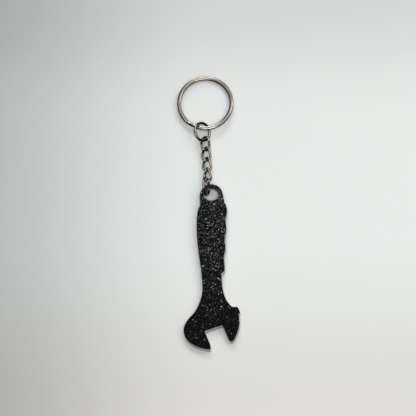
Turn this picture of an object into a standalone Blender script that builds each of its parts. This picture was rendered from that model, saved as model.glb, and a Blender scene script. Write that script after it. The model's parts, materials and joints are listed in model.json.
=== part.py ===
"""Keychain bottle opener: a flat wrench-shaped opener on a short curb chain with a split key ring.

The opener is a cut steel plate with a textured facing sheet glued to each face. A jump ring goes
through the eye at its top, then come four twisted curb links, a second jump ring and the split ring.
Everything lies on the plane Z = 0 as it does on a table. The opener's jaws point to -Y and the key
ring to +Y, +Z is up, and the origin is the bottom centre of the whole object's bounding box.
Run it with: blender --background --python part.py
"""

import math

import bpy
from mathutils import Matrix, Vector

MM = 0.001

# Clearances, each between two pieces that touch on the real object
GLUE_LINE = 0.05 * MM  # between the plate and a facing
WIRE_GAP = 0.15 * MM  # between a wire and the wire or bar that it hangs on
BUTT_GAP = 0.12 * MM  # between the two cut ends of a ring or link
COIL_GAP = 0.12 * MM  # between the two turns of the split ring

# Opener plate and facings, measured in the plate's own plane: U to the right, V towards the key ring
CORE_THICKNESS = 2.2 * MM
FACING_THICKNESS = 0.35 * MM
EYE_CENTRE_U = 0.25 * MM
EYE_CENTRE_V = 31.3 * MM
EYE_RADIUS = 3.15 * MM
EYE_DEPTH = 2.2 * MM  # from the eye's widest line down to its shallow bottom
EYE_WALL = 2.1 * MM
SHOULDER_U = -4.95 * MM  # where the eye's left side meets the grip's back
SHOULDER_V = 26.6 * MM
SHOULDER_STEP = 0.75 * MM
GRIP_BACK_U = -6.45 * MM
GRIP_BACK_V = 17.2 * MM
GRIP_FRONT_U = 7.3 * MM
GRIP_FRONT_V = 24.3 * MM
GRIP_TAPER = 1.2 * MM  # how much the finger side comes in over its length
FINGER_PITCH = 8.55 * MM
FINGER_DEPTH = 0.5 * MM
FINGERS = 3
LEDGE_DROP = 1.7 * MM  # from the last finger crest down to the ledge's corner
LEDGE_WIDTH = 1.4 * MM
NECK_BACK_U = -3.8 * MM
NECK_BACK_V = -10.6 * MM
JAW_GAP = 8.5 * MM  # the slot between the two parallel jaw faces
JAW_TILT = math.radians(24)  # of the jaw faces from -V
ROOT_TILT = math.radians(18)  # of the slot's root from U
ROOT_U = -3.05 * MM
ROOT_V = -30.35 * MM
FIXED_JAW_LENGTH = 6.7 * MM
FIXED_JAW_NOSE = 2.1 * MM  # the blunt end of the fixed jaw
HOOK_JAW_LENGTH = 7.6 * MM
HEAD_BACK_U = -12.3 * MM
HEAD_BACK_V = -29.9 * MM
HEAD_KINK_U = -7.85 * MM
HEAD_KINK_V = -22.3 * MM
HEAD_FRONT_U = 12.75 * MM
HEAD_FRONT_V = -26.0 * MM
TAB_U = 9.6 * MM  # the upper inner corner of the small slide tab
TAB_V = -19.55 * MM
TAB_TOP_LENGTH = 2.45 * MM  # from that corner to the tab's upper outer one
TAB_TOP_TILT = math.radians(5)
TAB_SPAN = 4.7 * MM  # to its lower outer corner
TAB_SPAN_TILT = math.radians(-40)
TAB_FOOT_SPAN = 4.1 * MM  # to where its underside meets the head
TAB_FOOT_TILT = math.radians(-50)

# Rings and chain
RING_WIRE = 1.2 * MM
RING_OUTER = 9.2 * MM
LINK_WIRE = 1.1 * MM
LINK_LENGTH = 7.2 * MM
LINK_WIDTH = 4.6 * MM
LINK_TWIST = math.radians(42)  # of each end of a curb link from the link's own plane
SPLIT_OUTER = 25.3 * MM
SPLIT_STRIP_WIDTH = 1.7 * MM
SPLIT_STRIP_HEIGHT = 0.8 * MM
SPLIT_CORNER = 0.3 * MM
SPLIT_JOG_START = math.radians(225)  # where the strip steps from one layer to the other
SPLIT_JOG_SWEEP = math.radians(24)
SEAT_SLACK = 0.26 * MM  # more room where the strip's corners pass the connector ring's wire

# How the loose pieces lie
BAIL_ANGLE = math.radians(118)  # where on the eye's arch the bail ring hangs
BAIL_LEAN = math.radians(75)  # of the bail ring from flat, its left side up
BAIL_PULL = 0.65 * MM  # how far the chain draws the bail ring's centre up past the arch
BAIL_HANG = math.radians(68)  # where on the bail ring the first link hangs
LINK_YAW = (2, 4, 4, 4)  # degrees to the left of +Y, from the opener outwards
LINK_PITCH = (-5, -5, -4, -1)  # degrees up
LINK_ROLL = (44, 22, 14, 0)  # degrees about the link's own length
CONNECTOR_LEAN = math.radians(38)
CONNECTOR_TOP = math.radians(84)  # where on the connector ring the split ring hangs

ARC_STEP = math.radians(9)
WIRE_STEPS = 44  # points round a ring or link
COIL_STEPS = 56  # points in one turn of the split ring

STEEL = {"name": "bare_steel", "colour": (0.42, 0.39, 0.35), "metallic": 1.0, "roughness": 0.42}
FACING = {"name": "black_facing", "colour": (0.012, 0.012, 0.014), "metallic": 0.0, "roughness": 0.5}
NICKEL = {"name": "nickel_plate", "colour": (0.56, 0.52, 0.45), "metallic": 1.0, "roughness": 0.22}


# ---------------------------------------------------------------- scene and materials


def clear_scene():
    """Removes every object, so that the file holds only the part."""
    for obj in list(bpy.data.objects):
        bpy.data.objects.remove(obj)


def collection(name):
    """A new collection in the scene."""
    made = bpy.data.collections.new(name)
    bpy.context.scene.collection.children.link(made)
    return made


def material(finish):
    """The material of a finish, made once."""
    made = bpy.data.materials.get(finish["name"])
    if made:
        return made
    made = bpy.data.materials.new(finish["name"])
    made.use_nodes = True
    shader = made.node_tree.nodes["Principled BSDF"]
    shader.inputs["Base Color"].default_value = (*finish["colour"], 1.0)
    shader.inputs["Metallic"].default_value = finish["metallic"]
    shader.inputs["Roughness"].default_value = finish["roughness"]
    return made


# ---------------------------------------------------------------- plane curves


def arc(centre, radius, start, end, squash=1.0):
    """Points along an arc from start to end; squash scales it across its widest line."""
    steps = max(3, math.ceil(abs(end - start) / ARC_STEP))
    angles = [start + (end - start) * i / steps for i in range(steps + 1)]
    return [
        Vector((centre.x + radius * math.cos(a), centre.y + radius * squash * math.sin(a)))
        for a in angles
    ]


def bezier(start, leave, arrive, end, steps=8):
    """Points along a cubic curve that leaves start towards start + leave and reaches end from end + arrive."""
    points = []
    for i in range(steps + 1):
        t = i / steps
        s = 1 - t
        points.append(
            s**3 * start + 3 * s * s * t * (start + leave) + 3 * s * t * t * (end + arrive) + t**3 * end
        )
    return points


def rounded(corner, before, after, radius, steps=3):
    """Points that round a corner between the points before and after it."""
    near = corner + (before - corner).normalized() * radius
    far = corner + (after - corner).normalized() * radius
    return bezier(near, (corner - near) * 0.6, (corner - far) * 0.6, far, steps)


def direction(angle):
    """The unit vector at this angle from U."""
    return Vector((math.cos(angle), math.sin(angle)))


def tidy(points, least=0.02 * MM):
    """The closed outline without points that lie on the one before."""
    kept = []
    for point in points:
        if not kept or (point - kept[-1]).length > least:
            kept.append(point)
    if (kept[0] - kept[-1]).length <= least:
        kept.pop()
    return kept


# ---------------------------------------------------------------- the opener's outline


def eye_hole():
    """The eye: a round top and a shallow bottom."""
    centre = Vector((EYE_CENTRE_U, EYE_CENTRE_V))
    top = arc(centre, EYE_RADIUS, 0, math.pi)
    bottom = arc(centre, EYE_RADIUS, math.pi, 2 * math.pi, EYE_DEPTH / EYE_RADIUS)
    return tidy(top + bottom)


def finger_side():
    """The wavy finger side of the grip, from its top crest down to the ledge above the neck.

    A straight taper less a raised cosine, one wave for each finger.
    """
    length = FINGERS * FINGER_PITCH
    steps = 9 * FINGERS
    points = []
    for i in range(steps + 1):
        down = length * i / steps
        wave = (1 - math.cos(2 * math.pi * down / FINGER_PITCH)) / 2
        u = GRIP_FRONT_U - GRIP_TAPER * down / length - FINGER_DEPTH * wave
        points.append(Vector((u, GRIP_FRONT_V - down)))
    return points


def slot_corners():
    """The slot's four corners: fixed jaw nose, root beside the fixed jaw, root beside the hook, hook tip."""
    along = direction(JAW_TILT - math.pi / 2)
    across = direction(JAW_TILT)
    root = direction(ROOT_TILT)
    fixed_root = Vector((ROOT_U, ROOT_V))
    hook_root = fixed_root + root * (JAW_GAP / root.dot(across))
    return (
        fixed_root + along * FIXED_JAW_LENGTH,
        fixed_root,
        hook_root,
        hook_root + along * HOOK_JAW_LENGTH,
    )


def opener_outline():
    """The opener's outer edge, anticlockwise from the right of the eye."""
    eye = Vector((EYE_CENTRE_U, EYE_CENTRE_V))
    eye_outer = EYE_RADIUS + EYE_WALL
    nose, fixed_root, hook_root, tip = slot_corners()
    fingers = finger_side()
    shoulder = Vector((SHOULDER_U, SHOULDER_V))
    grip_back = Vector((GRIP_BACK_U, GRIP_BACK_V))
    grip_top = shoulder - Vector((SHOULDER_STEP, 1.3 * MM))
    neck_back = Vector((NECK_BACK_U, NECK_BACK_V))
    kink = Vector((HEAD_KINK_U, HEAD_KINK_V))
    head_back = Vector((HEAD_BACK_U, HEAD_BACK_V))
    nose_end = nose + Vector((0.12 * MM, -FIXED_JAW_NOSE))
    heel = nose_end + Vector((-0.35 * MM, -0.15 * MM))
    tip_end = tip + Vector((2.1 * MM, 0.25 * MM))
    head_front = Vector((HEAD_FRONT_U, HEAD_FRONT_V))
    tab_top = Vector((TAB_U, TAB_V))
    tab_end = tab_top + direction(TAB_TOP_TILT) * TAB_TOP_LENGTH
    tab_far = tab_top + direction(TAB_SPAN_TILT) * TAB_SPAN
    tab_foot = tab_top + direction(TAB_FOOT_TILT) * TAB_FOOT_SPAN
    ledge_out = fingers[-1] - Vector((0, LEDGE_DROP))
    ledge_in = ledge_out - Vector((LEDGE_WIDTH, 1.1 * MM))

    points = arc(eye, eye_outer, 0, math.pi)
    points += rounded(shoulder, points[-1], grip_top, 0.5 * MM)
    points += bezier(grip_top, Vector((-0.5, -2.3)) * MM, Vector((0, 3.2)) * MM, grip_back, 5)
    points += bezier(grip_back, Vector((0, -9.5)) * MM, Vector((-0.25, 9.1)) * MM, neck_back)
    points += bezier(neck_back, Vector((0.05, -4.6)) * MM, Vector((1.85, 2.35)) * MM, kink)
    points += bezier(kink, Vector((-2.2, -2.3)) * MM, Vector((0, 3.0)) * MM, head_back)
    points += bezier(head_back, Vector((0, -5.2)) * MM, Vector((-6.2, 0.55)) * MM, heel, 12)
    points += rounded(nose_end, heel, nose, 0.3 * MM)
    points += rounded(nose, nose_end, fixed_root, 0.5 * MM)
    points += rounded(fixed_root, nose, hook_root, 0.35 * MM)
    points += rounded(hook_root, fixed_root, tip, 0.2 * MM)
    points += bezier(tip, Vector((0.35, -0.75)) * MM, Vector((-0.45, -0.85)) * MM, tip_end, 5)
    points += bezier(tip_end, Vector((1.3, 2.4)) * MM, Vector((0, -2.9)) * MM, head_front)
    points += bezier(head_front, Vector((0, 1.3)) * MM, Vector((0.25, -0.9)) * MM, tab_foot, 4)
    points += rounded(tab_far, tab_foot, tab_end, 0.75 * MM)
    points += rounded(tab_end, tab_far, tab_top, 0.95 * MM)
    points += bezier(tab_top, Vector((-3.9, 3.2)) * MM, Vector((0, -6.9)) * MM, ledge_in, 10)
    points += rounded(ledge_out, ledge_in, fingers[-1], 0.3 * MM)
    points += fingers[::-1]
    points += bezier(fingers[0], Vector((0, 2.3)) * MM, Vector((0.1, -2.0)) * MM, arc(eye, eye_outer, 0, 1)[0], 6)
    return tidy(points)


# ---------------------------------------------------------------- meshes from curves


def sheet(name, thickness):
    """The opener's outline with its eye, as a flat piece of this thickness centred on its own plane."""
    curve = bpy.data.curves.new(name, "CURVE")
    curve.dimensions = "2D"
    curve.fill_mode = "BOTH"
    curve.extrude = thickness / 2
    for outline in (opener_outline(), eye_hole()):
        spline = curve.splines.new("POLY")
        spline.points.add(len(outline) - 1)
        for point, place in zip(spline.points, outline):
            point.co = (place.x, place.y, 0, 1)
        spline.use_cyclic_u = True
    return bpy.data.objects.new(name, curve)


def wire(name, points, diameter):
    """A round wire along these points, with closed ends."""
    curve = bpy.data.curves.new(name, "CURVE")
    curve.dimensions = "3D"
    curve.bevel_depth = diameter / 2
    curve.bevel_resolution = 3
    curve.use_fill_caps = True
    spline = curve.splines.new("POLY")
    spline.points.add(len(points) - 1)
    for point, place in zip(spline.points, points):
        point.co = (*place, 1)
    return bpy.data.objects.new(name, curve)


def strip_section(helpers):
    """The split ring's strip in section: a rectangle with round corners, wide across the ring."""
    half_width = SPLIT_STRIP_WIDTH / 2
    half_height = SPLIT_STRIP_HEIGHT / 2
    curve = bpy.data.curves.new("split_strip_section", "CURVE")
    curve.dimensions = "2D"
    points = []
    for quarter, (x, y) in enumerate(((1, 1), (-1, 1), (-1, -1), (1, -1))):
        centre = Vector((x * (half_width - SPLIT_CORNER), y * (half_height - SPLIT_CORNER)))
        start = quarter * math.pi / 2
        points += [centre + direction(start + i * math.pi / 6) * SPLIT_CORNER for i in range(4)]
    points.reverse()
    spline = curve.splines.new("POLY")
    spline.points.add(len(points) - 1)
    for point, place in zip(spline.points, points):
        point.co = (place.x, place.y, 0, 1)
    spline.use_cyclic_u = True
    section = bpy.data.objects.new("split_strip_section", curve)
    section.hide_render = True
    section.display_type = "WIRE"
    helpers.objects.link(section)
    return section


def jump_ring_points(cut_angle):
    """The centreline of a jump ring in its own XY plane, open by the butt gap at cut_angle."""
    radius = (RING_OUTER - RING_WIRE) / 2
    half_gap = BUTT_GAP / 2 / radius
    start = cut_angle + half_gap
    sweep = 2 * math.pi - 2 * half_gap
    angles = [start + sweep * i / WIRE_STEPS for i in range(WIRE_STEPS + 1)]
    return [Vector((radius * math.cos(a), radius * math.sin(a), 0)) for a in angles]


def curb_link_points():
    """The centreline of a curb link: an oval along Y, turned about Y in proportion to Y.

    The oval is two half circles joined by straight limbs. It is cut in the middle of its right limb.
    """
    radius = (LINK_WIDTH - LINK_WIRE) / 2
    reach = (LINK_LENGTH - LINK_WIRE) / 2
    straight = reach - radius
    turn = math.pi * radius
    around = 4 * straight + 2 * turn
    points = []
    for i in range(WIRE_STEPS + 1):
        run = BUTT_GAP / 2 + (around - BUTT_GAP) * i / WIRE_STEPS
        if run < straight:
            x, y = radius, run
        elif run < straight + turn:
            angle = (run - straight) / radius
            x, y = radius * math.cos(angle), straight + radius * math.sin(angle)
        elif run < 3 * straight + turn:
            x, y = -radius, 2 * straight + turn - run
        elif run < 3 * straight + 2 * turn:
            angle = math.pi + (run - 3 * straight - turn) / radius
            x, y = radius * math.cos(angle), -straight + radius * math.sin(angle)
        else:
            x, y = radius, run - around
        twist = LINK_TWIST * y / reach
        points.append(Vector((x * math.cos(twist), y, x * math.sin(twist))))
    return points


def split_ring_points():
    """The centreline of the split ring's strip: a turn on the upper layer, a jog down, a turn on the lower.

    The two ends stop at either side of the jog, so that the strip never meets itself.
    """
    radius = (SPLIT_OUTER - SPLIT_STRIP_WIDTH) / 2
    layer = (SPLIT_STRIP_HEIGHT + COIL_GAP) / 2
    end_gap = COIL_GAP / radius
    level = 2 * math.pi - SPLIT_JOG_SWEEP
    total = 2 * level + SPLIT_JOG_SWEEP
    steps = 2 * COIL_STEPS
    points = []
    for i in range(steps + 1):
        run = end_gap + (total - 2 * end_gap) * i / steps
        share = min(1.0, max(0.0, (run - level) / SPLIT_JOG_SWEEP))
        height = layer * (1 - 2 * share * share * (3 - 2 * share))
        angle = SPLIT_JOG_START - run
        points.append(Vector((radius * math.cos(angle), radius * math.sin(angle), height)))
    return points


# ---------------------------------------------------------------- placing


def frame_of(origin, x_axis, y_axis):
    """The matrix of a frame at origin, with these X and Y axes."""
    x = Vector(x_axis).normalized()
    z = x.cross(Vector(y_axis)).normalized()
    y = z.cross(x)
    turned = Matrix((x, y, z)).transposed().to_4x4()
    return Matrix.Translation(origin) @ turned


def leaning(lean):
    """A leaning ring's X axis: to the right and down, so that its left side is up."""
    return Vector((math.cos(lean), 0, -math.sin(lean)))


def held_off(place, wire_direction, other_direction, away, distance):
    """The point at this distance from a wire, square to it and to the other wire, on the side opposite away."""
    square = wire_direction.cross(other_direction).normalized()
    if square.dot(away) < 0:
        square = -square
    return place - square * distance


def link_frame(hook, hook_direction, hook_wire, yaw, pitch, roll):
    """The frame of a link whose near end goes round the wire at hook.

    Its Y runs along the link, which leaves to the left of +Y by yaw and up by pitch, and it is rolled
    about its own length.
    """
    along = Vector(
        (-math.sin(yaw) * math.cos(pitch), math.cos(yaw) * math.cos(pitch), math.sin(pitch))
    )
    flat = along.cross(Vector((0, 0, 1)))
    frame = frame_of(Vector(), Matrix.Rotation(-roll, 3, along) @ flat, along)
    apex, apex_direction = end_of(frame, -1)
    clear = (hook_wire + LINK_WIRE) / 2 + WIRE_GAP
    near = held_off(hook, hook_direction, apex_direction, along, clear)
    return Matrix.Translation(near - apex) @ frame


def end_of(frame, sign):
    """A link's wire centre at its far (1) or near (-1) end, and the wire's direction there."""
    reach = (LINK_LENGTH - LINK_WIRE) / 2
    twist = sign * LINK_TWIST
    place = frame @ Vector((0, sign * reach, 0))
    return place, frame.to_3x3() @ Vector((math.cos(twist), 0, math.sin(twist)))


class Assembly:
    """The pieces, each hung on an empty at its joint, which hangs on the empty of the piece it moves on."""

    def __init__(self, name):
        self.pieces = collection(name)
        self.helpers = collection(name + "_helpers")
        self.root = self.empty(name + "_origin", Matrix(), None)

    def empty(self, name, world, parent):
        """An empty at this place, moving with parent."""
        made = bpy.data.objects.new(name, None)
        made.empty_display_size = 2 * MM
        made["world"] = [value for row in world for value in row]
        self.helpers.objects.link(made)
        self.hang(made, world, parent)
        return made

    def hang(self, obj, world, parent):
        """Puts obj at this place in the world, moving with parent."""
        obj.parent = parent
        if parent is None:
            obj.matrix_basis = world
            return
        held = list(parent["world"])
        above = Matrix([held[0:4], held[4:8], held[8:12], held[12:16]])
        obj.matrix_basis = above.inverted() @ world

    def add(self, obj, world, parent, finish):
        """Adds a piece at this place in the world, moving with parent."""
        obj.data.materials.append(material(finish))
        self.pieces.objects.link(obj)
        self.hang(obj, world, parent)
        return obj

    def hinge(self, name, place, axis, parent):
        """An empty on a joint: its X axis is the axis that its pieces turn about."""
        axis = Vector(axis).normalized()
        across = Vector((0, 1, 0)) if abs(axis.y) < 0.9 else Vector((1, 0, 0))
        return self.empty(name, frame_of(place, axis, across), parent)


# ---------------------------------------------------------------- sub-assemblies


def bail_geometry():
    """Where the bail ring and the eye's arch lie: (ring centre, arch point on the plate, lift of the plate).

    The ring stands on its lowest point. The arch's lower corner keeps the wire gap to the ring's inside,
    which fixes how high the arch lies on the ring, and so how far the eye's end of the plate is lifted.
    """
    ring_radius = (RING_OUTER - RING_WIRE) / 2
    inside = ring_radius - RING_WIRE / 2 - WIRE_GAP
    thickness = CORE_THICKNESS + 2 * (FACING_THICKNESS + GLUE_LINE)
    half_across = EYE_WALL / 2 / math.sin(BAIL_ANGLE)
    half_through = thickness / 2 / math.sin(BAIL_LEAN)
    room = math.sqrt(inside**2 - (half_across + BAIL_PULL) ** 2)
    rise = room - half_through  # of the ring's centre above the arch's, in the ring's plane
    height = RING_WIRE / 2 + ring_radius * math.sin(BAIL_LEAN)
    arch_radius = EYE_RADIUS + EYE_WALL / 2
    arch_uv = Vector((EYE_CENTRE_U, EYE_CENTRE_V)) + direction(BAIL_ANGLE) * arch_radius
    lift = height - rise * math.sin(BAIL_LEAN) - thickness / 2
    centre = Vector(
        (arch_uv.x - rise * math.cos(BAIL_LEAN), arch_uv.y + BAIL_PULL, height)
    )
    return centre, arch_uv, lift


def build_opener(assembly):
    """The plate with its two facings, resting on the jaws' end and on the bail ring's wire."""
    _, arch_uv, lift = bail_geometry()
    lowest_v = min(point.y for point in opener_outline())
    tilt = math.asin(lift / (arch_uv.y - lowest_v))
    plate = Matrix.Translation((0, 0, -lowest_v * math.sin(tilt))) @ Matrix.Rotation(tilt, 4, "X")
    carrier = assembly.empty("opener", plate, assembly.root)
    facing_step = CORE_THICKNESS / 2 + GLUE_LINE + FACING_THICKNESS / 2
    middle = facing_step + FACING_THICKNESS / 2
    for name, thickness, offset, finish in (
        ("opener_plate", CORE_THICKNESS, 0, STEEL),
        ("front_facing", FACING_THICKNESS, facing_step, FACING),
        ("back_facing", FACING_THICKNESS, -facing_step, FACING),
    ):
        piece = sheet(name, thickness)
        assembly.add(piece, plate @ Matrix.Translation((0, 0, middle + offset)), carrier, finish)
    arch = plate @ Vector((arch_uv.x, arch_uv.y, middle))
    bar = plate.to_3x3() @ Vector((math.sin(BAIL_ANGLE), -math.cos(BAIL_ANGLE), 0))
    return carrier, arch, bar


def build_bail_ring(assembly, carrier, arch, bar):
    """The jump ring through the eye. Returns its hinge empty, its far wire centre and the wire's direction."""
    centre, _, _ = bail_geometry()
    x_axis = leaning(BAIL_LEAN)
    frame = frame_of(centre, x_axis, (0, 1, 0))
    hinge = assembly.hinge("bail_ring_hinge", arch, bar, carrier)
    ring = wire("bail_ring", jump_ring_points(math.radians(160)), RING_WIRE)
    assembly.add(ring, frame, hinge, NICKEL)
    hang = direction(BAIL_HANG)
    radius = (RING_OUTER - RING_WIRE) / 2
    place = frame @ Vector((hang.x * radius, hang.y * radius, 0))
    return hinge, place, frame.to_3x3() @ Vector((-hang.y, hang.x, 0))


def build_chain(assembly, parent, hook, hook_direction):
    """The curb links. A link turns about the wire it hangs on or about its own end, turn and turn about."""
    hook_wire = RING_WIRE
    for i, angles in enumerate(zip(LINK_YAW, LINK_PITCH, LINK_ROLL)):
        yaw, pitch, roll = (math.radians(angle) for angle in angles)
        frame = link_frame(hook, hook_direction, hook_wire, yaw, pitch, roll)
        near, near_direction = end_of(frame, -1)
        if i % 2 == 0:
            place, axis = hook, hook_direction
        else:
            place, axis = near, near_direction
        parent = assembly.hinge(f"chain_link_{i + 1}_hinge", place, axis, parent)
        link = wire(f"chain_link_{i + 1}", curb_link_points(), LINK_WIRE)
        assembly.add(link, frame, parent, NICKEL)
        hook, hook_direction = end_of(frame, 1)
        hook_wire = LINK_WIRE
    return parent, hook, hook_direction


def build_connector_ring(assembly, parent, hook, hook_direction):
    """The jump ring between the chain and the split ring, leaning on the table with its left side up.

    It stands on its lowest point, so the last link's height fixes where on the ring that link hangs.
    """
    radius = (RING_OUTER - RING_WIRE) / 2
    rise = radius * math.sin(CONNECTOR_LEAN)
    x_axis = leaning(CONNECTOR_LEAN)
    clear = (LINK_WIRE + RING_WIRE) / 2 + WIRE_GAP
    place = hook
    for _ in range(5):  # settles the place on the ring and the direction of its wire there together
        hang = -math.acos(1 - (place.z - RING_WIRE / 2) / rise)
        tangent = Vector((0, math.cos(hang), 0)) - x_axis * math.sin(hang)
        place = held_off(hook, hook_direction, tangent, Vector((0, 1, 0)), clear)
    outwards = x_axis * math.cos(hang) + Vector((0, math.sin(hang), 0))
    frame = frame_of(place - outwards * radius, x_axis, (0, 1, 0))
    hinge = assembly.hinge("connector_ring_hinge", place, tangent, parent)
    ring = wire("connector_ring", jump_ring_points(math.radians(200)), RING_WIRE)
    assembly.add(ring, frame, hinge, NICKEL)
    top = direction(CONNECTOR_TOP)
    return hinge, frame @ Vector((top.x * radius, top.y * radius, 0))


def split_seat():
    """How far the strip's inside stays from the connector ring's, along the pull.

    Along the strip, the leaning ring's opening looks like an ellipse. The strip's corners, with their
    gap, lie on it, so a taller strip sits further in.
    """
    radius = (RING_OUTER - RING_WIRE) / 2
    along = radius - RING_WIRE / 2
    upright = radius * math.sin(CONNECTOR_LEAN) - RING_WIRE / 2
    half_height = SPLIT_STRIP_HEIGHT + COIL_GAP / 2 + WIRE_GAP
    return along * (1 - math.sqrt(1 - (half_height / upright) ** 2)) + SEAT_SLACK


def build_split_ring(assembly, parent, hook):
    """The split key ring: its near side rides in the connector ring and its far side on the table.

    It turns about its own strip where that passes through the connector ring.
    """
    radius = (SPLIT_OUTER - SPLIT_STRIP_WIDTH) / 2
    half_height = SPLIT_STRIP_HEIGHT + COIL_GAP / 2
    inside = radius - SPLIT_STRIP_WIDTH / 2
    reach = inside - RING_WIRE / 2 - split_seat()
    drop = math.asin((hook.z - half_height) / (reach + SPLIT_OUTER / 2))
    towards = Vector((math.cos(CONNECTOR_TOP), math.sin(CONNECTOR_TOP) * math.cos(drop), -math.sin(drop)))
    towards.normalize()
    centre = hook + towards * reach
    frame = frame_of(centre, Vector((1, 0, 0)), towards)
    hinge = assembly.hinge("split_ring_hinge", centre - towards * radius, (1, 0, 0), parent)
    curve_object = wire("split_ring", split_ring_points(), SPLIT_STRIP_HEIGHT)
    curve = curve_object.data
    curve.bevel_mode = "OBJECT"
    curve.bevel_object = strip_section(assembly.helpers)
    curve.twist_mode = "Z_UP"
    assembly.add(curve_object, frame, hinge, NICKEL)


def stand_on_origin(assembly):
    """Moves the whole assembly so that the origin is the bottom centre of its bounding box."""
    bpy.context.view_layer.update()
    graph = bpy.context.evaluated_depsgraph_get()
    corners = []
    for obj in assembly.pieces.objects:
        evaluated = obj.evaluated_get(graph)
        mesh = evaluated.to_mesh()
        corners += [evaluated.matrix_world @ vertex.co for vertex in mesh.vertices]
        evaluated.to_mesh_clear()
    low = Vector(min(c[i] for c in corners) for i in range(3))
    high = Vector(max(c[i] for c in corners) for i in range(3))
    assembly.root.location = (-(low.x + high.x) / 2, -(low.y + high.y) / 2, -low.z)
    bpy.context.view_layer.update()


def main():
    """Builds the opener, the chain and the rings, outwards from the opener."""
    clear_scene()
    assembly = Assembly("keychain_bottle_opener")
    carrier, arch, bar = build_opener(assembly)
    hold = build_bail_ring(assembly, carrier, arch, bar)
    hold = build_chain(assembly, *hold)
    hold = build_connector_ring(assembly, *hold)
    build_split_ring(assembly, *hold)
    stand_on_origin(assembly)
    return assembly


if __name__ == "__main__":
    main()
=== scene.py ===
"""The looks of the keychain bottle opener: facings, cut steel plate, chain and rings on a pale table.

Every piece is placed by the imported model: its outline, its centre and its axes are worked out from the
mesh of the node that it stands for. Lengths are in metres.
"""

import json
import logging
import math
from dataclasses import dataclass, field, replace
from enum import Enum
from typing import Any

import bpy
import numpy as np
from mathutils import Matrix, Vector
from mathutils.geometry import delaunay_2d_cdt

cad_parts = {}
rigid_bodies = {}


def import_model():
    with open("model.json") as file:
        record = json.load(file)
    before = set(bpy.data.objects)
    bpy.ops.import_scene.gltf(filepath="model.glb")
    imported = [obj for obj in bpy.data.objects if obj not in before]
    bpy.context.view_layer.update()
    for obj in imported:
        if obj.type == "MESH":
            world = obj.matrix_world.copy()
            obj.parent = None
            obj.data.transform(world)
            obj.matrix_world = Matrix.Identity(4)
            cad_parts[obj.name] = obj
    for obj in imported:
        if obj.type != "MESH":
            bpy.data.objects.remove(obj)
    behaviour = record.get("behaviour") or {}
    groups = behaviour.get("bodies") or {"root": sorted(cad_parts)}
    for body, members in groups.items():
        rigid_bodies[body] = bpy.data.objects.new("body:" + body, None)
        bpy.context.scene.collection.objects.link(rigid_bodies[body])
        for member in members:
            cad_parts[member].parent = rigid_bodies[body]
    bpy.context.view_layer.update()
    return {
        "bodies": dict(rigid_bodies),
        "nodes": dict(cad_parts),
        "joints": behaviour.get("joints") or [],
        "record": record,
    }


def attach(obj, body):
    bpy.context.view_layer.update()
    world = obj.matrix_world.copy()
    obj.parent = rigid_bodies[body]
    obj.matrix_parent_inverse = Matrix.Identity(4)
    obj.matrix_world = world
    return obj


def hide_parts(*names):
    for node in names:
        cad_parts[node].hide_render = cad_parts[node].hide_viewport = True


LOG = logging.getLogger("keychain_opener")
MM = 0.001
Array = np.ndarray
Pair = tuple[float, float]
Triple = tuple[float, float, float]


class Slot(Enum):
    """The record's material slots."""

    STEEL = "bare_steel"
    FACING = "black_facing"
    NICKEL = "nickel_plate"


# ---- shader maths


class Value:
    """A shader socket that takes part in Python expressions: each operator adds its Math node."""

    def __init__(self, graph: "Graph", socket: bpy.types.NodeSocket) -> None:
        """Wraps an output socket of the graph."""
        self.graph = graph
        self.socket = socket

    def math(self, operation: str, *others: Any, first: Any = None) -> "Value":
        """Adds a Math node.

        Args:
            operation: the node's operation.
            others: the operands after the first.
            first: the first operand, where it isn't this value.

        Returns:
            The node's result.
        """
        operands = [self if first is None else first, *others]
        return self.graph.node("ShaderNodeMath", {"operation": operation}, dict(enumerate(operands)))

    def __add__(self, other: Any) -> "Value":
        """Sum."""
        return self.math("ADD", other)

    __radd__ = __add__

    def __mul__(self, other: Any) -> "Value":
        """Product."""
        return self.math("MULTIPLY", other)

    __rmul__ = __mul__

    def __sub__(self, other: Any) -> "Value":
        """Difference."""
        return self.math("SUBTRACT", other)

    def __rsub__(self, other: Any) -> "Value":
        """Reflected difference."""
        return self.math("SUBTRACT", self, first=other)

    def __pow__(self, other: Any) -> "Value":
        """Power."""
        return self.math("POWER", other)

    def __lt__(self, other: Any) -> "Value":
        """1 where the value is less, and 0 elsewhere."""
        return self.math("LESS_THAN", other)

    def ramp(self, low: Any, high: Any) -> "Value":
        """Goes smoothly from 0 at low to 1 at high."""
        sockets = {"Value": self, "From Min": low, "From Max": high}
        return self.graph.node("ShaderNodeMapRange", {"interpolation_type": "SMOOTHSTEP"}, sockets)

    def between(self, low: float, high: float) -> "Value":
        """Goes evenly from low where the value is 0 to high where it is 1."""
        return self * (high - low) + low


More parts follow.
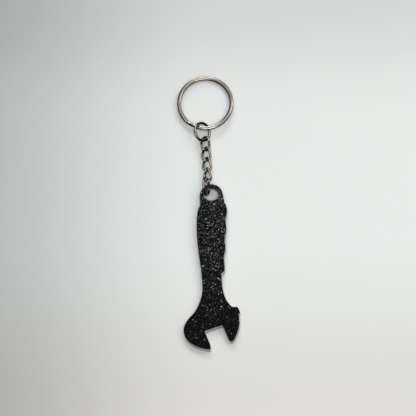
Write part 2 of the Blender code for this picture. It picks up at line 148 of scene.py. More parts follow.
class Graph:
    """The nodes of a new material or world around its one shader, and the methods that add them."""

    def __init__(self, owner: Any, shader: str, place: str) -> None:
        """Turns on the owner's nodes.

        Args:
            owner: a new material or world.
            shader: the name of its shader node.
            place: the texture coordinate that patterns follow.
        """
        owner.use_nodes = True
        self.owner = owner
        self.tree = owner.node_tree
        self.shader = self.tree.nodes[shader]
        self.place = self.node("ShaderNodeTexCoord", output=place)

    @classmethod
    def of_material(cls, name: str) -> "Graph":
        """A new material, whose patterns follow its object's coordinates."""
        return cls(bpy.data.materials.new(name), "Principled BSDF", "Object")

    @classmethod
    def of_world(cls, name: str) -> "Graph":
        """A new world, whose patterns follow the direction looked in."""
        return cls(bpy.data.worlds.new(name), "Background", "Generated")

    def node(
        self,
        kind: str,
        settings: dict[str, Any] | None = None,
        sockets: dict[Any, Any] | None = None,
        output: str | int = 0,
    ) -> Value:
        """Adds a node.

        Args:
            kind: the node's type.
            settings: properties of the node, set first.
            sockets: values or links of its inputs, by name or number.
            output: the output to return, by name or number.

        Returns:
            That output.
        """
        made = self.tree.nodes.new(kind)
        for name, value in (settings or {}).items():
            setattr(made, name, value)
        for name, value in (sockets or {}).items():
            self.feed(made.inputs[name], value)
        return Value(self, made.outputs[output])

    def feed(self, socket: bpy.types.NodeSocket, value: Any) -> None:
        """Links a value to an input, or sets the input where the value is a plain one.

        Args:
            socket: the input.
            value: a Value, a number, a vector or a colour.
        """
        if isinstance(value, Value):
            self.tree.links.new(value.socket, socket)
        elif isinstance(value, (tuple, list)) and socket.type == "RGBA":
            socket.default_value = (*value[:3], 1.0)
        else:
            socket.default_value = value

    def set(self, **sockets: Any) -> None:
        """Sets the shader's inputs, whose names are given with _ for a space."""
        for name, value in sockets.items():
            self.feed(self.shader.inputs[name.replace("_", " ").title().replace("Ior", "IOR")], value)

    def mix(self, share: Any, low: Any, high: Any) -> Value:
        """The colour low where share is 0 and high where it is 1."""
        sockets = {0: share, 6: low, 7: high}
        return self.node("ShaderNodeMix", {"data_type": "RGBA"}, sockets, 2)

    def stretched(self, scale: Triple) -> Value:
        """The object coordinates, scaled along each axis."""
        return self.node("ShaderNodeMapping", None, {"Vector": self.place, "Scale": scale})

    def noise(self, size: float, detail: float = 2.0, vector: Value | None = None) -> Value:
        """Cloudy noise from 0 to 1 whose lumps are of this size."""
        sockets = {"Vector": vector or self.place, "Scale": 1 / size, "Detail": detail}
        return self.node("ShaderNodeTexNoise", {"noise_dimensions": "3D"}, sockets)

    def cells(self, size: float, output: str = "Distance", feature: str = "F1") -> Value:
        """Cells of about this size: the distance to a cell's centre, or each cell's random colour."""
        sockets = {"Vector": self.place, "Scale": 1 / size}
        return self.node("ShaderNodeTexVoronoi", {"feature": feature}, sockets, output)

    def channel(self, colour: Value, index: int) -> Value:
        """A colour's red, green or blue."""
        return self.node("ShaderNodeSeparateColor", None, {0: colour}, index)

    def axis(self, index: int, vector: Value | None = None) -> Value:
        """One of the three numbers of a vector, or of the object coordinates."""
        return self.node("ShaderNodeSeparateXYZ", None, {0: vector or self.place}, index)

    def bump(self, height: Value, strength: float, distance: float, normal: Value | None = None) -> Value:
        """Raises the surface by a pattern.

        Args:
            height: the pattern.
            strength: how much of the relief is seen, from 0 to 1.
            distance: how high the surface stands where the pattern is 1.
            normal: the normal to start from, where it isn't the surface's own.

        Returns:
            The normal of the raised surface.
        """
        sockets = {"Height": height, "Strength": strength, "Distance": distance}
        if normal is not None:
            sockets["Normal"] = normal
        return self.node("ShaderNodeBump", None, sockets)

    def tilted(self, random: Value, amount: Any) -> Value:
        """Turns the surface's normal aside.

        Args:
            random: a colour that says which way, mid grey for no way.
            amount: how far.

        Returns:
            The turned normal.
        """
        normal = self.node("ShaderNodeNewGeometry", output="Normal")
        aside = self.vector("SUBTRACT", random, (0.5, 0.5, 0.5))
        scaled = self.node("ShaderNodeVectorMath", {"operation": "SCALE"}, {0: aside, "Scale": amount})
        return self.vector("NORMALIZE", self.vector("ADD", normal, scaled))

    def vector(self, operation: str, *operands: Any) -> Value:
        """Adds a Vector Math node."""
        return self.node("ShaderNodeVectorMath", {"operation": operation}, dict(enumerate(operands)))


# ---- finishes


@dataclass(frozen=True)
class GlitterFinish:
    """Black coating with silver flakes, denser and brighter towards the grip's top and sparser and dimmer
    towards the jaws.

    Large flakes stand out of a dense layer of small, dimmer ones.
    """

    black: Triple = (0.0009, 0.0009, 0.0012)
    silver: Triple = (0.58, 0.60, 0.64)
    large_flake: float = 0.64 * MM  # the distance between the places where a flake may lie
    small_flake: float = 0.42 * MM
    large_radius: float = 0.33  # as a share of that distance
    small_radius: float = 0.42
    core: float = 0.75  # the share of its radius within which a flake is whole
    spread: float = 1.9  # the power that makes most flakes dim and a few bright
    dimmest: float = 0.03
    ends: Pair = (-62 * MM, 2 * MM)  # along Y, where the flakes are sparsest and dimmest and where densest and brightest
    density: Pair = (0.10, 0.46)  # the share of places with a large flake, at those ends
    cloud: float = 7 * MM
    cloudiness: Pair = (0.7, 1.3)  # what the clouds multiply that share by
    small_density: Pair = (0.40, 1.30)  # the share with a small flake, where the large one's is 0 and 1
    small_shine: Pair = (0.08, 0.29)  # how bright the small flakes are, at the ends
    metal: Pair = (0.05, 0.4)  # the brightnesses between which a flake turns to metal
    roughness: Pair = (0.46, 0.30)  # of the black and of a full flake
    tilt: float = 0.7
    gloss: float = 0.03
    pebble: float = 0.7 * MM
    pebble_height: float = 0.12 * MM
    relief: float = 0.45

    def layer(self, graph: Graph, size: float, radius: float, density: Value) -> tuple[Value, Value]:
        """One layer of flakes.

        Args:
            graph: the material.
            size: the distance between the places where a flake may lie.
            radius: a flake's radius as a share of that distance.
            density: the share of places that hold a flake.

        Returns:
            The flakes' brightness, 0 between them, and the random colour of each place.
        """
        random = graph.cells(size, "Color")
        held = graph.channel(random, 0) < density
        shine = (graph.channel(random, 1) ** self.spread).between(self.dimmest, 1)
        near = 1 - graph.cells(size).ramp(radius * self.core, radius)
        return near * held * shine, random

    def build(self) -> bpy.types.Material:
        """Makes the finish.

        Returns:
            Its material.
        """
        graph = Graph.of_material("black_glitter")
        along = graph.axis(1).ramp(*self.ends)
        density = along.between(*self.density) * graph.noise(self.cloud).between(*self.cloudiness)
        large, random = self.layer(graph, self.large_flake, self.large_radius, density)
        dense = density.between(*self.small_density)
        small, _ = self.layer(graph, self.small_flake, self.small_radius, dense)
        flakes = large.math("MAXIMUM", small * along.between(*self.small_shine))
        pebbles = graph.cells(self.pebble, feature="SMOOTH_F1")
        turned = graph.tilted(random, flakes * self.tilt)
        graph.set(
            base_color=graph.mix(flakes, self.black, self.silver),
            metallic=flakes.ramp(*self.metal),
            roughness=flakes.between(*self.roughness),
            specular_ior_level=self.gloss,
            normal=graph.bump(pebbles, self.relief, self.pebble_height, turned),
        )
        return graph.owner


@dataclass(frozen=True)
class CutSteelFinish:
    """Bare steel with the fine upright marks of the cut on its edge."""

    light: Triple = (0.60, 0.56, 0.51)
    dark: Triple = (0.38, 0.345, 0.31)
    mark: float = 0.28 * MM
    upright: Triple = (1.0, 1.0, 0.06)  # how the marks' pattern is scaled to draw it out along Z
    stain: float = 3.5 * MM
    mark_share: float = 0.55  # of the tone; the stains make up the rest
    tones: Pair = (0.3, 0.7)  # the tones that are all dark and all light
    roughness: Pair = (0.34, 0.56)
    metallic: float = 0.85
    mark_height: float = 0.05 * MM
    relief: float = 0.35

    def build(self) -> bpy.types.Material:
        """Makes the finish.

        Returns:
            Its material.
        """
        graph = Graph.of_material("cut_steel")
        marks = graph.noise(self.mark, 3.0, graph.stretched(self.upright))
        stains = graph.noise(self.stain, 3.0)
        tone = marks * self.mark_share + stains * (1 - self.mark_share)
        graph.set(
            base_color=graph.mix(tone.ramp(*self.tones), self.dark, self.light),
            metallic=self.metallic,
            roughness=tone.between(*self.roughness),
            normal=graph.bump(marks, self.relief, self.mark_height),
        )
        return graph.owner


@dataclass(frozen=True)
class NickelFinish:
    """Nickel plate with a warm cast, drawing marks and dull spots.

    A band of painted shade lies on the wire's slopes, between its side and the line along its top and
    bottom: a dark base colour that stands for the dark reflections and shade on those slopes.
    """

    bright: Triple = (0.27, 0.26, 0.212)
    warm: Triple = (0.235, 0.192, 0.153)
    dull: Triple = (0.11, 0.094, 0.075)
    # painted shade: the dark colour of the band on the wire's slopes
    slope_shade: Triple = (0.012, 0.010, 0.008)
    cast: float = 2.6 * MM
    casts: Pair = (0.38, 0.62)  # the noise that is all warm and all bright
    spot: float = 0.6 * MM
    spots: Pair = (0.56, 0.72)  # the noise where a dull spot begins and where it is full
    dulling: float = 0.7
    scratch: float = 0.16 * MM
    slope_shade_from: Pair = (0.22, 0.46)  # how upright the normal is where the painted shade begins and where it is full
    slope_shade_until: Pair = (0.66, 0.99)  # and where it begins to go and is gone
    roughness: float = 0.08
    spot_roughness: float = 0.22  # how much a full spot adds
    scratch_roughness: float = 0.08
    cast_height: float = 1.5  # as a multiple of the scratches' height
    scratch_height: float = 0.03 * MM
    relief: float = 0.12

    def build(self) -> bpy.types.Material:
        """Makes the finish.

        Returns:
            Its material.
        """
        graph = Graph.of_material("nickel_plate_wire")
        cast = graph.noise(self.cast)
        spots = graph.noise(self.spot, 4.0).ramp(*self.spots)
        scratches = graph.noise(self.scratch, 3.0)
        upright = graph.axis(2, graph.node("ShaderNodeTexCoord", output="Normal")).math("ABSOLUTE")
        # painted shade: 1 in the band on the wire's slopes, from how upright the normal is
        slope_shaded = upright.ramp(*self.slope_shade_from) * (1 - upright.ramp(*self.slope_shade_until))
        plate = graph.mix(cast.ramp(*self.casts), self.warm, self.bright)
        worn = graph.mix(spots * self.dulling, plate, self.dull)
        graph.set(
            # the band's base colour is darkened as painted shade and painted dark reflection
            base_color=graph.mix(slope_shaded, worn, self.slope_shade),
            metallic=1.0,
            roughness=self.roughness + spots * self.spot_roughness + scratches * self.scratch_roughness,
            normal=graph.bump(scratches + cast * self.cast_height, self.relief, self.scratch_height),
        )
        return graph.owner


@dataclass(frozen=True)
class TableFinish:
    """A pale, slightly glossy table top with painted light: lightest right of its middle, with painted
    shade towards its left, far and near sides and a painted warm cast near.
    """

    cool: Triple = (0.627, 0.652, 0.637)
    warm: Triple = (0.565, 0.552, 0.528)
    left: Pair = (-115 * MM, 5 * MM)  # along X, where the painted shade on the left side is full and where it ends
    far: Pair = (40 * MM, 100 * MM)  # along Y, where the painted shade on the far side begins and where it is full
    near: Pair = (-90 * MM, -10 * MM)  # along Y, where the painted shade on the near side is full and where it ends
    # how much painted shade each side puts on the table's colour
    left_painted_shade: float = 0.40
    far_painted_shade: float = 0.18
    near_painted_shade: float = 0.03
    roughness: float = 0.22

    def build(self) -> bpy.types.Material:
        """Makes the finish, whose tone is painted light: the product of one smooth fall of painted shade
        for each of three sides, with a painted warm cast towards the near side.

        Returns:
            Its material.
        """
        graph = Graph.of_material("table_top")
        from_left = graph.axis(0).ramp(*self.left)
        away = graph.axis(1).ramp(*self.far)
        from_near = graph.axis(1).ramp(*self.near)
        # painted light: the tone darkens as painted shade towards the left, far and near sides
        tone = from_left.between(1 - self.left_painted_shade, 1) * away.between(1, 1 - self.far_painted_shade)
        tone = tone * from_near.between(1 - self.near_painted_shade, 1)
        # painted warm cast of light towards the near side
        tint = graph.mix(from_near, self.warm, self.cool)
        graph.set(base_color=graph.mix(tone, (0.0, 0.0, 0.0), tint), roughness=self.roughness)
        return graph.owner


# ---- meshes


@dataclass
class Surface:
    """A mesh in the making: points, and the faces on them."""

    points: Array = field(default_factory=lambda: np.zeros((0, 3)))
    faces: list[tuple[int, ...]] = field(default_factory=list)

    def add(self, points: Array, faces: Array) -> None:
        """Adds points with faces numbered from the first of them."""
        self.faces += [tuple(face) for face in (faces + len(self.points)).tolist()]
        self.points = np.vstack([self.points, points])

    def object(self, name: str, material: bpy.types.Material, sharp_from: float = 38.0) -> bpy.types.Object:
        """Makes the mesh an object at the origin.

        Args:
            name: the object's name.
            material: its material.
            sharp_from: the angle in degrees from which an edge isn't smoothed over.

        Returns:
            The object.
        """
        mesh = bpy.data.meshes.new(name)
        mesh.from_pydata(self.points.tolist(), [], self.faces)
        mesh.materials.append(material)
        mesh.polygons.foreach_set("use_smooth", np.ones(len(mesh.polygons), bool))
        mesh.update()
        mesh.set_sharp_from_angle(angle=math.radians(sharp_from))
        made = bpy.data.objects.new(name, mesh)
        bpy.context.scene.collection.objects.link(made)
        return made


def grid_faces(rows: int, columns: int) -> Array:
    """The quads of a grid of points, closed round its columns.

    Point (i, j) has number i * columns + j, and each quad joins it to its neighbours in the next row and
    the next column.

    Args:
        rows: how many rows of points there are.
        columns: how many points a row has.

    Returns:
        The numbers of each quad's corners, N by 4.
    """
    i, j = np.meshgrid(np.arange(rows - 1), np.arange(columns), indexing="ij")
    k = (j + 1) % columns
    corners = (i * columns + j, i * columns + k, (i + 1) * columns + k, (i + 1) * columns + j)
    return np.stack([c.ravel() for c in corners], axis=1)


def unit(vectors: Array) -> Array:
    """The vectors at length 1."""
    return vectors / np.linalg.norm(vectors, axis=-1, keepdims=True)


def ahead_in(index: int, axis: Array) -> Array:
    """The axis, or its opposite if its number at index is negative."""
    return axis * (1 if axis[index] >= 0 else -1)


def swept(path: Array, across: Array, up: Array, section: Array, chamfer: float) -> Surface:
    """A closed section carried along an open path, with chamfered flat ends.

    The point at section (s, t) and path step i is path[i] + s * across[i] + t * up[i]. At each end one
    more ring of points stands chamfer further out, drawn in by the same amount, and is closed by a face.

    Args:
        path: centreline points, N by 3.
        across: unit vectors for the section's first coordinate, N by 3.
        up: unit vectors for its second coordinate, N by 3.
        section: the section's corners, anticlockwise, M by 2.
        chamfer: the size of the end chamfer.

    Returns:
        The surface.
    """
    scale = np.ones(len(path) + 2)
    scale[[0, -1]] = 1 - chamfer / np.abs(section).max()
    ahead = np.cross(up, across)
    path = np.vstack([path[0], path, path[-1]])
    path[0] -= ahead[0] * chamfer * np.sign((path[2] - path[1]) @ ahead[0])
    path[-1] -= ahead[-1] * chamfer * np.sign((path[-3] - path[-2]) @ ahead[-1])
    across = np.vstack([across[0], across, across[-1]])
    up = np.vstack([up[0], up, up[-1]])
    offset = across[:, None, :] * section[None, :, :1] + up[:, None, :] * section[None, :, 1:]
    points = (path[:, None, :] + offset * scale[:, None, None]).reshape(-1, 3)
    made = Surface()
    made.add(points, grid_faces(len(path), len(section)))
    last = len(points) - len(section)
    made.faces.append(tuple(range(len(section)))[::-1])
    made.faces.append(tuple(range(last, len(points))))
    return made


def facing_out(made: Surface) -> Surface:
    """Turns a closed surface's faces over if the volume that they enclose is negative.

    Args:
        made: the surface.

    Returns:
        The same surface.
    """
    total = 0.0
    for face in made.faces:
        corners = made.points[list(face)]
        total += float(np.einsum("i,ki->", corners[0], np.cross(corners[1:-1], corners[2:])))
    if total < 0:
        made.faces = [face[::-1] for face in made.faces]
    return made


def circle(radius: float, steps: int) -> Array:
    """Points (r cos a, r sin a) round a circle, steps by 2."""
    angle = np.linspace(0, 2 * np.pi, steps, endpoint=False)
    return radius * np.stack([np.cos(angle), np.sin(angle)], axis=1)


def worn_strip(width: float, height: float, squareness: float, steps: int) -> Array:
    """A flattened wire's section, anticlockwise, steps by 2.

    Each point is (width / 2 * sign(c) |c|^(2/n), height / 2 * sign(s) |s|^(2/n)), where c and s are the
    cosine and sine of its angle and n is the squareness: 2 for an ellipse, more for a boxier strip.
    """
    points = circle(1.0, steps)
    return np.sign(points) * np.abs(points) ** (2 / squareness) * np.array([width / 2, height / 2])


# ---- where the CAD nodes lie


def cad_triangles(node: bpy.types.Object) -> Array:
    """Reads a node's mesh.

    Args:
        node: the CAD node.

    Returns:
        Its triangles' corners, N by 3 by 3.
    """
    mesh = node.data
    mesh.calc_loop_triangles()
    points = np.empty(len(mesh.vertices) * 3)
    mesh.vertices.foreach_get("co", points)
    corners = np.empty(len(mesh.loop_triangles) * 3, np.int64)
    mesh.loop_triangles.foreach_get("vertices", corners)
    return points.reshape(-1, 3)[corners].reshape(-1, 3, 3)


def triangle_normals(triangles: Array) -> Array:
    """Each triangle's normal, twice its area long."""
    return np.cross(triangles[:, 1] - triangles[:, 0], triangles[:, 2] - triangles[:, 0])


@dataclass
class Lie:
    """Where a ring or link lies: its centre and its own axes, Y along the chain and Z up."""

    centre: Array
    x_axis: Array
    y_axis: Array
    z_axis: Array

    @classmethod
    def of_ring(cls, node: bpy.types.Object) -> "Lie":
        """The lie of a round ring: Z is the direction it is thinnest in, and the centre is its circle's.

        The circle is the least squares fit of x^2 + y^2 = 2ax + 2by + c to the points in the ring's plane.

        Args:
            node: the ring's CAD node.

        Returns:
            Its lie.
        """
        triangles = cad_triangles(node)
        middles = triangles.mean(axis=1)
        middle = middles.mean(axis=0)
        z_axis = ahead_in(2, cls.main_axes(triangles)[0])
        y_axis = unit(np.array([0, 1.0, 0]) - z_axis[1] * z_axis)
        x_axis = np.cross(y_axis, z_axis)
        spread = middles - middle
        flat = np.stack([spread @ x_axis, spread @ y_axis], axis=1)
        matrix = np.hstack([2 * flat, np.ones((len(flat), 1))])
        a, b, _ = np.linalg.lstsq(matrix, (flat**2).sum(axis=1), rcond=None)[0]
        return cls(middle + a * x_axis + b * y_axis, x_axis, y_axis, z_axis)

    @classmethod
    def of_link(cls, node: bpy.types.Object) -> "Lie":
        """The lie of a twisted link: Y is its longest direction, X its next and Z its thinnest.

        Args:
            node: the link's CAD node.

        Returns:
            Its lie.
        """
        triangles = cad_triangles(node)
        corners = triangles.reshape(-1, 3)
        axes = cls.main_axes(triangles)
        z_axis, y_axis = ahead_in(2, axes[0]), ahead_in(1, axes[2])
        centre = (corners.min(axis=0) + corners.max(axis=0)) / 2
        return cls(centre, np.cross(y_axis, z_axis), y_axis, z_axis)

    @staticmethod
    def main_axes(triangles: Array) -> Array:
        """Finds the axes that a shape spreads along, each triangle weighed by its area.

        Args:
            triangles: the shape's triangles.

        Returns:
            The axes of least, middle and greatest spread, one in each row.
        """
        area = np.linalg.norm(triangle_normals(triangles), axis=1)
        middles = triangles.mean(axis=1)
        spread = middles - np.average(middles, axis=0, weights=area)
        return np.linalg.eigh((spread * area[:, None]).T @ spread)[1].T

    def placed(self, made: Surface) -> Surface:
        """A surface in these axes as one of the row frame, with its faces pointing out."""
        points = self.centre + made.points @ np.stack([self.x_axis, self.y_axis, self.z_axis])
        return facing_out(Surface(points, made.faces))


# ---- rings and chain


def coiled(radius: float, angle: Array, height: Array, section: Array, chamfer: float) -> Surface:
    """A section carried round Z: its centre at step i is (r cos angle[i], r sin angle[i], height[i]).

    Args:
        radius: the radius r of the section's centre.
        angle: the angle at each step.
        height: the height at each step.
        section: the section's corners, outwards and up, M by 2.
        chamfer: the size of the end chamfer.

    Returns:
        The surface, in the ring's own axes.
    """
    outwards = np.stack([np.cos(angle), np.sin(angle), np.zeros_like(angle)], axis=1)
    path = outwards * radius
    path[:, 2] = height
    up = np.tile([0.0, 0.0, 1.0], (len(angle), 1))
    return swept(path, outwards, up, section, chamfer)


@dataclass
class JumpRing:
    """A round wire ring with two cut ends that don't quite meet in line."""

    cut_angle: float  # radians, in the ring's own plane
    wire: float = 1.15 * MM
    outer: float = 9.15 * MM
    gap: float = 0.16 * MM
    step: float = 0.09 * MM  # how far one end stands above the other
    easing: float = 0.7  # radians in which an end's height falls to a third or so
    chamfer: float = 0.06 * MM
    steps: int = 150
    around: int = 24

    def surface(self, lie: Lie) -> Surface:
        """The wire: a circle of radius R whose height goes from +step/2 to -step/2 near its ends.

        The height at angle a from the cut is step / 2 * (exp(-a / w) - exp(-(2 pi - a) / w)), where w is
        the easing.

        Args:
            lie: where the ring lies.

        Returns:
            The surface.
        """
        radius = (self.outer - self.wire) / 2
        half_gap = self.gap / 2 / radius
        run = np.linspace(half_gap, 2 * np.pi - half_gap, self.steps)
        height = self.step / 2 * (np.exp(-run / self.easing) - np.exp(-(2 * np.pi - run) / self.easing))
        section = circle(self.wire / 2, self.around)
        return lie.placed(coiled(radius, self.cut_angle + run, height, section, self.chamfer))


@dataclass
class CurbLink:
    """A wire link whose two ends are twisted opposite ways, cut in the middle of one limb."""

    wire: float = 1.06 * MM
    length: float = 7.16 * MM
    width: float = 4.56 * MM
    twist: float = math.radians(42)
    gap: float = 0.12 * MM
    worn: float = 0.94  # the wire's height where the link was pressed flat, as a share of its width
    chamfer: float = 0.05 * MM
    steps: int = 120
    around: int = 20

    def surface(self, lie: Lie) -> Surface:
        """The wire: a race track of two half circles and two straight limbs, turned about Y.

        The run goes round the track from the middle of one limb, and the point at each run is chosen among
        the five parts by where the run falls. A point at y is turned by twist * y / reach. Directions
        across come from the path's numerical slope.

        Args:
            lie: where the link lies.

        Returns:
            The surface.
        """
        radius = (self.width - self.wire) / 2
        reach = (self.length - self.wire) / 2
        straight = reach - radius
        turn = np.pi * radius
        total = 4 * straight + 2 * turn
        run = np.linspace(self.gap / 2, total - self.gap / 2, self.steps)
        top = (run - straight) / radius
        low = np.pi + (run - 3 * straight - turn) / radius
        ends = (straight, straight + turn, 3 * straight + turn, 3 * straight + 2 * turn)
        parts = [run < end for end in ends]
        x = np.select(parts, [radius, radius * np.cos(top), -radius, radius * np.cos(low)], radius)
        y_top = straight + radius * np.sin(top)
        y_low = -straight + radius * np.sin(low)
        y = np.select(parts, [run, y_top, 2 * straight + turn - run, y_low], run - total)
        angle = self.twist * y / reach
        path = np.stack([x * np.cos(angle), y, x * np.sin(angle)], axis=1)
        ahead = unit(np.gradient(path, axis=0))
        level = np.stack([-np.sin(angle), np.zeros_like(angle), np.cos(angle)], axis=1)
        up = unit(level - (level * ahead).sum(axis=1, keepdims=True) * ahead)
        section = circle(self.wire / 2, self.around) * np.array([1.0, self.worn])
        return lie.placed(swept(path, np.cross(ahead, up), up, section, self.chamfer))


@dataclass
class SplitRing:
    """Two turns of flattened wire, one on the other, with a step from one to the other."""

    outer: float = 25.26 * MM
    strip_width: float = 1.66 * MM
    strip_height: float = 0.77 * MM
    squareness: float = 2.15
    coil_gap: float = 0.15 * MM
    jog_start: float = math.radians(225)
    jog_sweep: float = math.radians(24)
    chamfer: float = 0.08 * MM
    steps: int = 420
    around: int = 36

    def surface(self, lie: Lie) -> Surface:
        """The strip: a turn at height +h, a smooth step down over the jog, and a turn at height -h.

        The height at run s is h * (1 - 2 * S), where S is the smoothstep of s over the jog.

        Args:
            lie: where the ring lies.

        Returns:
            The surface.
        """
        radius = (self.outer - self.strip_width) / 2
        layer = (self.strip_height + self.coil_gap) / 2
        end_gap = self.coil_gap / radius
        level = 2 * np.pi - self.jog_sweep
        run = np.linspace(end_gap, 2 * level + self.jog_sweep - end_gap, self.steps)
        share = np.clip((run - level) / self.jog_sweep, 0, 1)
        height = layer * (1 - 2 * share**2 * (3 - 2 * share))
        section = worn_strip(self.strip_width, self.strip_height, self.squareness, self.around)
        return lie.placed(coiled(radius, self.jog_start - run, height, section, self.chamfer))


# ---- the opener

WELD = 1e-6  # corners of the plate's mesh that are this close are one
FACING_UP = 0.9  # how upright a triangle's normal is on the plate's upper face
LEVEL_RISE = 1e-12  # what stands for the rise of a level line, so that its slope is finite
BATCH = 2000  # how many points are compared with a whole outline at a time
PER_METRE = 1000  # the triangles between the rims are worked out in millimetres
TOUCHING = 1e-7  # the millimetres at which they take two points for one


@dataclass
class Outline:
    """The opener's edge and eye, read from the plate's CAD node, in the plate's own plane."""

    loops: list[Array]  # each N by 2, anticlockwise outside and clockwise inside
    origin: Array
    u_axis: Array
    v_axis: Array
    normal: Array
    thickness: float  # from the plate's upper face down to its lowest point
    spacing: float = 0.22 * MM
    softness: float = 0.8  # how far the resampled points are smoothed, in spacings
    lean: Pair = (0.16 * MM, -0.50 * MM)  # how far the cut goes aside from front to back
    square_from: float = 17 * MM  # how far below the eye's end of the plate the cut stops leaning
    square_run: float = 8 * MM  # over how much more of its length the lean grows to full

    @classmethod
    def of_plate(cls, node: bpy.types.Object) -> "Outline":
        """Follows the edges that only one triangle of the plate's upper face has.

        Args:
            node: the plate's CAD node.

        Returns:
            The outline, its outer loop first.
        """
        triangles = cad_triangles(node)
        normals = triangle_normals(triangles)
        up = normals[:, 2] > FACING_UP * np.linalg.norm(normals, axis=1)
        normal = unit(normals[up].sum(axis=0))
        u_axis = unit(np.array([1.0, 0, 0]) - normal[0] * normal)
        v_axis = np.cross(normal, u_axis)
        top = triangles[up]
        origin = top.reshape(-1, 3).mean(axis=0)
        flat = np.stack([(top - origin) @ u_axis, (top - origin) @ v_axis], axis=2).reshape(-1, 2)
        rounded = np.round(flat / WELD).astype(np.int64)
        keys, index = np.unique(rounded, axis=0, return_inverse=True)
        corners = index.reshape(-1, 3)
        ends = np.vstack([corners[:, [0, 1]], corners[:, [1, 2]], corners[:, [2, 0]]])
        known = {tuple(pair) for pair in ends.tolist()}
        after = {a: b for a, b in known if (b, a) not in known}
        loops = []
        while after:
            start = next(iter(after))
            chain, here = [start], after.pop(start)
            while here != start:
                chain.append(here)
                here = after.pop(here)
            loops.append(keys[chain] * WELD)
        loops.sort(key=lambda loop: -abs(cls.area(loop)))
        depths = (triangles.reshape(-1, 3) - origin) @ normal
        made = cls([], origin, u_axis, v_axis, normal, float(-depths.min()))
        made.loops = [made.smoothed(loop) for loop in loops]
        return made

    @staticmethod
    def area(loop: Array) -> float:
        """The area inside a loop, positive if it is anticlockwise."""
        after = np.roll(loop, -1, axis=0)
        return float((loop[:, 0] * after[:, 1] - loop[:, 1] * after[:, 0]).sum() / 2)

    def smoothed(self, loop: Array) -> Array:
        """Spaces a loop's points evenly and eases its corners by a Gaussian along its length.

        Args:
            loop: the points, N by 2.

        Returns:
            The new points.
        """
        closed = np.vstack([loop, loop[:1]])
        run = np.concatenate([[0], np.cumsum(np.linalg.norm(np.diff(closed, axis=0), axis=1))])
        count = int(run[-1] / self.spacing)
        at = np.linspace(0, run[-1], count, endpoint=False)
        even = np.stack([np.interp(at, run, closed[:, k]) for k in range(2)], axis=1)
        wave = np.fft.fftfreq(count)[:, None]
        kernel = np.exp(-2 * (np.pi * wave * self.softness) ** 2)
        return np.real(np.fft.ifft(np.fft.fft(even, axis=0) * kernel, axis=0))

    def inset(self, loop: Array, distance: float) -> Array:
        """The loop moved towards the material by distance: square to the line between its neighbours."""
        tangent = unit(np.roll(loop, -1, axis=0) - np.roll(loop, 1, axis=0))
        return loop + np.stack([-tangent[:, 1], tangent[:, 0]], axis=1) * distance

    def place(self, flat: Array, height: Array | float) -> Array:
        """Brings points of the plate's plane into the row frame.

        The cut leans: a point moves aside by lean * its depth below the upper face / the thickness. The
        lean fades to nothing over square_run towards the eye.

        Args:
            flat: the points, N by 2.
            height: how far above the plate's upper face each one is, or all are.

        Returns:
            The points, N by 3.
        """
        heights = np.broadcast_to(height, len(flat))[:, None]
        below_end = self.loops[0][:, 1].max() - flat[:, 1:]
        leaning = np.clip((below_end - self.square_from) / self.square_run, 0, 1)
        moved = flat + leaning * np.clip(-heights / self.thickness, 0, 1) * np.array(self.lean)
        return self.origin + moved[:, :1] * self.u_axis + moved[:, 1:] * self.v_axis + heights * self.normal

    def inside(self, points: Array, margin: float) -> Array:
        """True for each point that is on the material and at least margin from every edge."""
        batches = np.array_split(points, max(1, len(points) // BATCH))
        return np.concatenate([self.batch_inside(batch, margin) for batch in batches])

    def batch_inside(self, points: Array, margin: float) -> Array:
        """Does inside's work for a few points.

        A point is inside if a line from it crosses the loops an odd number of times.

        Args:
            points: the points, N by 2.
            margin: the least distance from an edge.

        Returns:
            True or False for each point.
        """
        across, up = points[:, None, 0], points[:, None, 1]
        crossings = np.zeros(len(points), np.int64)
        nearest = np.full(len(points), np.inf)
        for loop in self.loops:
            after = np.roll(loop, -1, axis=0)
            rise = after[:, 1] - loop[:, 1]
            slope = (after[:, 0] - loop[:, 0]) / np.where(rise == 0, LEVEL_RISE, rise)
            passes = (loop[None, :, 1] > up) != (after[None, :, 1] > up)
            meet = loop[None, :, 0] + (up - loop[None, :, 1]) * slope[None, :]
            crossings += (passes & (meet > across)).sum(axis=1)
            gap = ((points[:, None, :] - loop[None, :, :]) ** 2).sum(axis=2).min(axis=1)
            nearest = np.minimum(nearest, gap)
        return (crossings % 2 == 1) & (nearest > margin**2)


